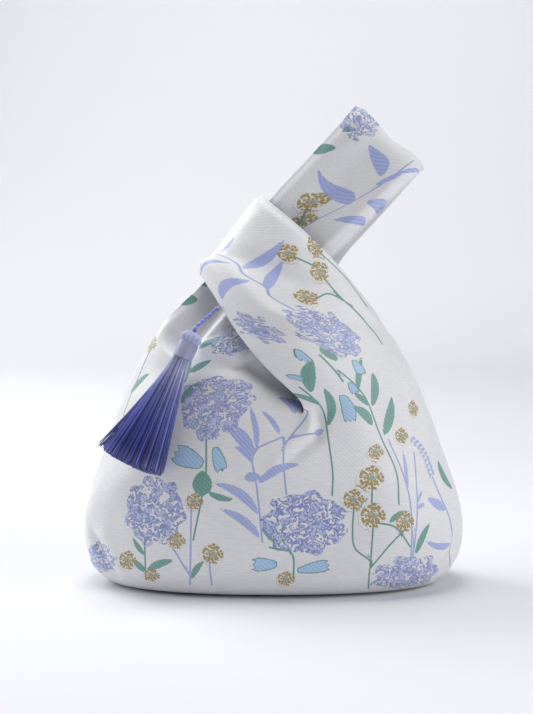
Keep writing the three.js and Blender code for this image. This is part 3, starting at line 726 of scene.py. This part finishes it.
# size in mm, the rest are levels of noise
petal = {"size": 3.5, "line": 0.565, "contrast": 1.2, "middle": 0.6}
umbelShape = {"around": 3.0, "rings": 3.8}  # florets by radian and by radius
spans = {  # where each mask begins, where it is full, and how full that is
    "edge": (-0.12, 0.12, 1), "stem": (garden["stemHalf"] + 0.12, garden["stemHalf"] - 0.12, 1),
    "gap": (0.425, 0.465, 1), "rim": (0.53, 0.47, 0.7), "petalHighlight": (0.56, 0.59, 0.6),
    "line": (0.022, 0.01, 0.7), "floret": (0.62, 0.54, 1), "reach": (1.1, 1.02, 1), "core": (0.24, 0.17, 1),
    "outline": (0.7, 0.45, 1), "rib": (0.45, 0.2, 0.55), "slub": (0.35, 0.7, 1),
}
spans = {name: dict(zip(("From Min", "From Max", "To Max"), span)) for name, span in spans.items()}
brocadeGloss = {"Roughness": 0.38, "Specular IOR Level": 0.5, "Sheen Weight": 0.2, "Sheen Roughness": 0.35}
brocade, add = newMaterial("satin_brocade")
read = {name: add("Attribute", attribute_name=name).outputs
        for name in ("flat", "leaf", "blade", "bell", "head", "rib", "deep", "umbel", "tealStem", "tealGuard",
                     "blueStem", "blueGuard")}
flatPlaces = read["flat"]["Vector"]
stretched = add("Mapping",
                {"Vector": flatPlaces, "Scale": (1 / weave["slubAlong"], 1 / weave["slubAcross"], 1)})
slubs = add("TexNoise", {"Vector": stretched, "Scale": 1.0, "Detail": 3.0, "Roughness": 0.6})
frayed = add("TexNoise", {"Vector": flatPlaces, "Scale": 0.9, "Detail": 1.0})
fray = add("MapRange", {"Value": frayed, "To Min": -weave["fray"], "To Max": weave["fray"]})
floats = add("TexWave", {"Vector": flatPlaces, "Scale": 2 * pi / 20 / weave["float"], "Distortion": 1.2,
                         "Detail": 1.0}, bands_direction="DIAGONAL")
petals = add("TexNoise", {"Vector": flatPlaces, "Scale": 1 / petal["size"], "Detail": 1.5, "Roughness": 0.45,
                          "Distortion": 1.5})
petalShade = add("TexNoise",
                 {"Vector": flatPlaces, "Scale": 0.75 / petal["size"], "Detail": 2.0, "Distortion": 0.8})
fromCore = add("VectorMath", {0: read["umbel"]["Vector"], 1: (1, 1, 0)}, operation="MULTIPLY")
fromCore = add("VectorMath", {0: fromCore}, operation="LENGTH")

masks = {}
for name in ("leaf", "blade", "bell", "head"):  # threads at the edge of a figure end a little unevenly
    ragged = add("Math", {0: read[name]["Fac"], 1: fray})
    masks[name] = add("MapRange", {"Value": ragged, **spans["edge"]})
for name, guard in (("tealStem", "tealGuard"), ("blueStem", "blueGuard")):
    width = add("Math", {0: read[name]["Fac"]}, operation="ABSOLUTE")
    thin = add("MapRange", {"Value": width, **spans["stem"]})
    near = add("Math", {0: read[guard]["Fac"], 1: garden["guard"]}, operation="LESS_THAN")
    masks[name] = add("Math", {0: thin, 1: near}, operation="MULTIPLY")
# on the flower heads each petal is painted darker near its edge (painted shade) and lighter in its middle
# (painted highlight); the thin contour line is a woven outline
petalGap, petalEdgeShadeAndLine, petalHighlight = (add("MapRange", {"Value": petals, **spans[name]})
                             for name in ("gap", "rim", "petalHighlight"))
masks["head"] = add("Math", {0: masks["head"], 1: petalGap}, operation="MULTIPLY")
halfCore = add("SeparateXYZ", {"Vector": read["umbel"]["Vector"]})
around = add("Math", {0: halfCore.outputs["Y"], 1: halfCore.outputs["X"]}, operation="ARCTAN2")
rings = add("Math", {0: fromCore.outputs["Value"], 1: umbelShape["rings"]}, operation="MULTIPLY")
spokes = add("Math", {0: around, 1: umbelShape["around"]}, operation="MULTIPLY")
polar = add("CombineXYZ", {"X": spokes, "Y": rings})
dashes = add("TexVoronoi", {"Vector": polar, "Scale": 1.0, "Randomness": 0.6})
floret = add("MapRange", {"Value": dashes, **spans["floret"]})
within = add("MapRange", {"Value": fromCore.outputs["Value"], **spans["reach"]})
masks["umbel"] = add("Math", {0: floret, 1: within}, operation="MULTIPLY")
masks["core"] = add("MapRange", {"Value": fromCore.outputs["Value"], **spans["core"]})

tones = {}
for name, dark, light in (("leaf", "teal", "tealLight"), ("blade", "blue", "blueLight"),
                          ("bell", "sky", "skyLight")):
    tones[name] = add("Mix", {0: floats.outputs["Fac"], 6: brocadeTone[dark], 7: brocadeTone[light]},
                      data_type="RGBA").outputs[2]
petalTone = add("Math", {0: petalShade, 1: petal["contrast"], 2: read["deep"]["Fac"]},
                operation="MULTIPLY_ADD")
petalTone = add("Math", {0: petalTone, 1: petal["middle"]}, operation="SUBTRACT", use_clamp=True)
fromLine = add("Math", {0: petals, 1: petal["line"]}, operation="SUBTRACT")
fromLine = add("Math", {0: fromLine}, operation="ABSOLUTE")
petalLine = add("MapRange", {"Value": fromLine, **spans["line"]})
petalEdgeShadeAndLine = add("Math", {0: petalEdgeShadeAndLine, 1: petalLine}, operation="MAXIMUM")
outline = add("MapRange", {"Value": read["bell"]["Fac"], **spans["outline"]})
ribSize = add("Math", {0: read["rib"]["Fac"]}, operation="ABSOLUTE")
ribLine = add("MapRange", {"Value": ribSize, **spans["rib"]})
tones["head"] = brocadeTone["headLight"]
# the heads' edge and middle tones paint shade and highlight on the petals, over their woven two tones and
# outline
for name, share, over in (("head", petalTone, "headDeep"), ("head", petalHighlight, "headHighlight"),
                          ("head", petalEdgeShadeAndLine, "headOutlineAndShade"), ("bell", outline, "teal"),
                          ("leaf", ribLine, "teal")):
    tones[name] = add("Mix", {0: share, 6: tones[name], 7: brocadeTone[over]}, data_type="RGBA").outputs[2]
tones.update({"tealStem": brocadeTone["teal"], "blueStem": brocadeTone["blue"],
              "umbel": brocadeTone["gold"], "core": brocadeTone["goldCore"]})
slubTone = add("MapRange", {"Value": slubs, **spans["slub"]})
cloth = add("Mix", {0: slubTone, 6: brocadeTone["ground"], 7: brocadeTone["slub"]},
            data_type="RGBA").outputs[2]
height = add("Math", {0: slubs, 1: weave["slubRaised"]}, operation="MULTIPLY")
for name in ("blueStem", "blade", "tealStem", "leaf", "bell", "head", "umbel", "core"):
    cloth = add("Mix", {0: masks[name], 6: cloth, 7: tones[name]}, data_type="RGBA").outputs[2]
    raised = add("Math", {0: masks[name], 1: weave["raised"]}, operation="MULTIPLY")
    height = add("Math", {0: height, 1: raised}, operation="MAXIMUM")
ridges = add("Math", {0: floats.outputs["Fac"], 1: weave["floatRaised"], 2: height}, operation="MULTIPLY_ADD")
relief = add("Bump", {"Height": ridges, "Distance": mm, "Strength": weave["relief"]})
brocadeShader = add("BsdfPrincipled", {"Base Color": cloth, "Normal": relief, **brocadeGloss})
add("OutputMaterial", {"Surface": brocadeShader})

# lining: plain-woven cotton, so matt with a faint grid of threads, drawn coarser than real
liningWeave = {"thread": 1.1, "raised": 0.08, "warp": "#C3CBE0", "weft": "#D3D9E8"}
liningGloss = {"Roughness": 0.75, "Specular IOR Level": 0.25}
liningCloth, add = newMaterial("plain_woven_cotton")
flatPlaces = add("Attribute", attribute_name="flat").outputs["Vector"]
threadScale = 2 * pi / 20 / liningWeave["thread"]  # a wave of scale 1 repeats every 2 pi / 20
warp, weft = (add("TexWave", {"Vector": flatPlaces, "Scale": threadScale, "Distortion": 0.4},
                  bands_direction=way)
              for way in "XY")
crossing = add("Math", {0: warp.outputs["Fac"], 1: weft.outputs["Fac"]}, operation="MULTIPLY")
liningTone = add("Mix", {0: crossing, 6: toLinear(liningWeave["warp"]), 7: toLinear(liningWeave["weft"])},
                 data_type="RGBA")
relief = add("Bump", {"Height": crossing, "Distance": liningWeave["raised"] * mm})
liningShader = add("BsdfPrincipled", {"Base Color": liningTone.outputs[2], "Normal": relief, **liningGloss})
add("OutputMaterial", {"Surface": liningShader})

inside = bag["brocade"] + bag["layerGap"]
for side, word in enumerate(("Front", "Back")):
    outer, source = panelPiece("brocade" + word, side, 0.0, bag["brocade"], fine, coarse, bag["brocade"] / 2,
                               brocade)
    lining, _ = panelPiece("lining" + word, side, inside, bag["lining"], coarse, coarse, 0.0, liningCloth)
    for name, values in patternOf(panelFlat[side][source]).items():
        storeOnPoints(outer, name, values)
    for piece, slotName, node in ((outer, "brocade", "outer"), (lining, "lining", "lining")):
        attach(piece, "bag")
        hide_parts(f"{node}_{word.lower()}_panel")
print("panels made")

# tassel: head, binding and skirt
hank = {"headRadius": 6.0, "headHeight": 5.8, "neck": 4.6, "bindingStart": 5.8, "bindingEnd": 16.0,
        "length": 81.0, "width": 39.0, "depth": 16.0, "threads": 2200, "threadRadius": 0.29, "steps": 12,
        "fan": 1.08, "wraps": 30, "strays": 14, "seed": 5, "headSides": 240, "ribs": 40, "ribHeight": 0.2,
        "headAlong": 0.12, "wrapSides": 96, "wrapAlong": 0.02, "wrapTone": 0.84, "wrapSeed": 3,
        "rootShare": 0.95, "tuck": 1.5, "coreReach": 0.03, "sideSpread": 0.045, "outSpread": 0.06,
        "strayReach": (-1.22, -1.0), "uneven": 2.6, "round": 2.0, "threadShade": (0.45, 1.6)}


# a solid round the hank from an outline of (radius, along)
def spun(name, outline, segments, material, ridges=0, ridgeHeight=0.0):
    turns = np.arange(segments) * 2 * pi / segments
    points = []
    for radius, along in outline:
        r = radius + ridgeHeight * np.cos(ridges * turns)
        points.append(onHank(r * np.cos(turns), np.full(segments, along), r * np.sin(turns)))
    faces = [(face[0], *reversed(face[1:])) for face in ringFaces(len(outline), segments)]  # to face outwards
    return meshPiece(name, np.vstack(points), faces, material)


rise = np.linspace(0.05, 1, 16)
dome = [(hank["headRadius"] * sin(pi / 2 * min(1, 0.2 + s * 0.9)) * (1 - 0.14 * ease((s - 0.7) / 0.3)),
         hank["headHeight"] * (1 - cos(pi / 2 * s))) for s in rise]
dome.append((hank["neck"] + 0.1, hank["headHeight"] + 1.2))
tasselHead = spun("tasselHead", dome, hank["headSides"], silk, hank["ribs"], hank["ribHeight"])
headTurns = np.tile(np.arange(hank["headSides"]) * 2 * pi / hank["headSides"], len(dome))
# painted shade: the head is lighter on each rib's crest and darker in the grooves between the ribs, plus a
# slow ripple of tone round it
storeOnPoints(tasselHead, "shade",
              0.92 + 0.2 * np.cos(hank["ribs"] * headTurns) + 0.1 * np.sin(13 * headTurns))
storeOnPoints(tasselHead, "along", np.full(len(headTurns), hank["headAlong"]))
wraps, wrapTurns = [], (-0.5, -0.3, -0.1, 0.1, 0.3, 0.5)  # each wrap's round outline
pitch = (hank["bindingEnd"] - hank["bindingStart"] - 0.6) / hank["wraps"]
for k in range(hank["wraps"]):
    for turn in wrapTurns:
        belly = 0.25 * sin(pi * (k + 0.5 + turn) / hank["wraps"])
        wraps.append((hank["neck"] + 0.75 + belly + 0.12 * cos(pi * turn),
                      hank["bindingStart"] + 0.3 + (k + 0.5 + turn * 0.96) * pitch))
tasselBinding = spun("tasselBinding", wraps, hank["wrapSides"], silk)
wrapTone = hank["wrapTone"] + 0.06 * np.random.default_rng(hank["wrapSeed"]).uniform(-1, 1, hank["wraps"])
storeOnPoints(tasselBinding, "shade", np.repeat(wrapTone, len(wrapTurns) * hank["wrapSides"]))
storeOnPoints(tasselBinding, "along", np.full(len(wraps) * hank["wrapSides"], hank["wrapAlong"]))

draws = np.random.default_rng(hank["seed"])
turnOf = draws.uniform(0, 2 * pi, hank["threads"])
turnOf += 0.05 * np.sin(17 * turnOf) + 0.03 * np.sin(41 * turnOf)  # threads gather into loose locks
reachOf = np.sqrt(draws.uniform(hank["coreReach"], 1, hank["threads"]))
rootSide = hank["neck"] * hank["rootShare"] * reachOf * np.cos(turnOf)
rootOut = hank["neck"] * hank["rootShare"] * reachOf * np.sin(turnOf)
tipSide = hank["width"] / 2 * reachOf * np.cos(turnOf) * draws.normal(1, hank["sideSpread"], hank["threads"])
tipOut = hank["depth"] / 2 * reachOf * np.sin(turnOf) * draws.normal(1, hank["outSpread"], hank["threads"])
strayed = draws.uniform(*hank["strayReach"], hank["strays"])  # a few have strayed to one side
tipSide[:hank["strays"]] = hank["width"] / 2 * strayed
rootAlong = np.full(hank["threads"], hank["bindingEnd"] - hank["tuck"])
tipAlong = hank["length"] - draws.uniform(0, hank["uneven"], hank["threads"])
tipAlong -= hank["round"] * (tipSide / (hank["width"] / 2)) ** 2  # the skirt's lower edge is a little round
# painted highlights and shade: whole locks are made lighter or darker, for glints and dark gaps between
# threads
lockShade = 0.9 + 0.22 * np.sin(17 * turnOf + 0.6) + 0.14 * np.sin(41 * turnOf)
rootAt = onHank(rootSide, rootAlong, rootOut)
spread = onHank(tipSide - rootSide, 0 * tipSide, tipOut - rootOut) - tassel["top"]
fall = np.outer(tipAlong - rootAlong, tassel["hang"])

threadTree = bpy.data.node_groups.new("skirtThreads", "GeometryNodeTree")
for name, kind in (("Geometry", "NodeSocketGeometry"), ("Thread Radius", "NodeSocketFloat"),
                   ("Thread Steps", "NodeSocketInt"), ("Fan", "NodeSocketFloat"),
                   ("Finish", "NodeSocketMaterial")):
    threadTree.interface.new_socket(name, in_out="INPUT", socket_type=kind)
threadTree.interface.new_socket("Geometry", in_out="OUTPUT", socket_type="NodeSocketGeometry")
add = partial(addNode, threadTree)
given = add("NodeGroupInput").outputs
dots = add("GeometryNodeMeshToPoints", {"Mesh": given["Geometry"]})
line = add("GeometryNodeCurvePrimitiveLine")
steps = add("GeometryNodeResampleCurve", {"Curve": line, "Count": given["Thread Steps"]})
placed = add("GeometryNodeInstanceOnPoints", {"Points": dots, "Instance": steps})
loose = add("GeometryNodeRealizeInstances", {"Geometry": placed})
along = add("GeometryNodeSplineParameter").outputs["Factor"]
fanned = add("Math", {0: along, 1: given["Fan"]}, operation="POWER")
reads = {name: add("GeometryNodeInputNamedAttribute", {"Name": name},
                   data_type="FLOAT_VECTOR").outputs["Attribute"]
         for name in ("rootAt", "spread", "fall")}
fallen = add("VectorMath", {0: reads["fall"], "Scale": along}, operation="SCALE")
opened = add("VectorMath", {0: reads["spread"], "Scale": fanned}, operation="SCALE")
lower = add("VectorMath", {0: reads["rootAt"], 1: fallen})
finalPlace = add("VectorMath", {0: lower, 1: opened})
moved = add("GeometryNodeSetPosition", {"Geometry": loose, "Position": finalPlace})
kept = add("GeometryNodeStoreNamedAttribute", {"Geometry": moved, "Name": "along", "Value": along},
           data_type="FLOAT", domain="POINT")
ring = add("GeometryNodeCurvePrimitiveCircle", {"Resolution": 3, "Radius": given["Thread Radius"]})
solid = add("GeometryNodeCurveToMesh", {"Curve": kept, "Profile Curve": ring, "Fill Caps": True})
real = add("GeometryNodeRealizeInstances", {"Geometry": solid})
finished = add("GeometryNodeSetMaterial", {"Geometry": real, "Material": given["Finish"]})
add("NodeGroupOutput", {"Geometry": finished})

tasselSkirt = meshPiece("tasselSkirt", rootAt, [], silk)
for name, values in (("rootAt", rootAt), ("spread", spread), ("fall", fall)):
    storeOnPoints(tasselSkirt, name, values * mm)
# painted highlights and shade: each thread is also made lighter or darker at random
storeOnPoints(tasselSkirt, "shade", lockShade * draws.uniform(*hank["threadShade"], hank["threads"]))
threads = tasselSkirt.modifiers.new("threads", "NODES")
threads.node_group = threadTree
inputs = {item.name: item.identifier for item in threadTree.interface.items_tree if item.in_out == "INPUT"}
threads[inputs["Thread Radius"]] = hank["threadRadius"] * mm
threads[inputs["Thread Steps"]] = hank["steps"]
threads[inputs["Fan"]] = hank["fan"]
threads[inputs["Finish"]] = silk
made = bpy.data.meshes.new_from_object(tasselSkirt.evaluated_get(bpy.context.evaluated_depsgraph_get()))
tasselSkirt.modifiers.remove(threads)
tasselSkirt.data = made
tasselSkirt.data.polygons.foreach_set("use_smooth", [True] * len(made.polygons))
print("skirt", len(made.polygons), "faces")
for piece in (tasselHead, tasselBinding, tasselSkirt):
    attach(piece, "tassel")
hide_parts("tassel_hank")
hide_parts("tassel_binding")

# stage
sweep = {"front": -1400.0, "back": 1700.0, "half": 3000.0, "cove": 500.0, "top": 2200.0, "drop": 0.2}
profile = [(sweep["front"], 0.0), (sweep["back"] - sweep["cove"], 0.0)]
profile += [(sweep["back"] - sweep["cove"] + sweep["cove"] * sin(a),
             sweep["cove"] * (1 - cos(a))) for a in np.linspace(0.1, pi / 2, 14)]
profile += [(sweep["back"], sweep["top"])]
points = [(x, y, z - sweep["drop"]) for y, z in profile for x in (-sweep["half"], sweep["half"])]
faces = [(2 * k, 2 * k + 1, 2 * k + 3, 2 * k + 2) for k in range(len(profile) - 1)]
# matt paper: even and pale; the camera sees it a little lighter than it is, so the backdrop is near white
paperLift = {"From Min": 0.5, "From Max": 1.5, "To Min": 0.0, "To Max": 0.3}  # by metres behind the bag
paperCode = {"shade": "#E6E7EB", "light": "#EAEBEF", "glow": "#F8F9FD"}
paper, add = newMaterial("matt_paper")
places = add("TexCoord").outputs["Object"]
grain = add("TexNoise", {"Vector": places, "Scale": 900.0, "Detail": 2.0})
paperTone = add("Mix", {0: grain, 6: toLinear(paperCode["shade"]), 7: toLinear(paperCode["light"])},
                data_type="RGBA")
paperShader = add("BsdfDiffuse", {"Color": paperTone.outputs[2]})
path = add("LightPath").outputs
seen = add("Math", {0: path["Is Camera Ray"], 1: path["Is Glossy Ray"]}, operation="MAXIMUM")
seen = add("Math", {0: seen, 1: path["Is Transmission Ray"]}, operation="MAXIMUM")
behind = add("SeparateXYZ", {"Vector": places})
lift = add("MapRange", {"Value": behind.outputs["Y"], **paperLift})
lift = add("Math", {0: seen, 1: lift}, operation="MULTIPLY")
paperGlow = add("Emission", {"Color": toLinear(paperCode["glow"]), "Strength": lift})
paperSum = add("AddShader", {0: paperShader, 1: paperGlow})
add("OutputMaterial", {"Surface": paperSum})
floor = meshPiece("paperSweep", points, faces, paper)

sky = {"To Min": 0.06, "To Max": 0.88}  # weak light all round, but pale to the camera
world = bpy.data.worlds.new("studio")
scene.world = world
world.use_nodes = True
world.node_tree.nodes.clear()
add = partial(addNode, world.node_tree)
path = add("LightPath").outputs
beyond = add("MapRange", {"Value": path["Is Camera Ray"], **sky})
glow = add("Background", {"Color": (1, 1, 1, 1), "Strength": beyond})
add("OutputWorld", {"Surface": glow})
lampAim = (0, 0, 110)
lamps = (("leftPanel", (-1200, -120, 620), 900, 6.2), ("rightPanel", (1250, -160, 560), 900, 5.4),
         ("topPanel", (-100, 150, 1500), 800, 11.5), ("rightFill", (900, -900, 700), 800, 6.0),
         ("leftBackPanel", (-900, 700, 900), 800, 10.5))  # place and size in mm, power in W
for name, place, size, power in lamps:
    lamp = bpy.data.objects.new(name, bpy.data.lights.new(name, "AREA"))
    lamp.data.size = size * mm
    lamp.data.energy = power
    lamp.location = [c * mm for c in place]
    aim = np.subtract(lampAim, place)
    lamp.rotation_euler = (atan2(np.hypot(aim[0], aim[1]), -aim[2]), 0, atan2(aim[1], aim[0]) - pi / 2)
    scene.collection.objects.link(lamp)
print("stage lit")
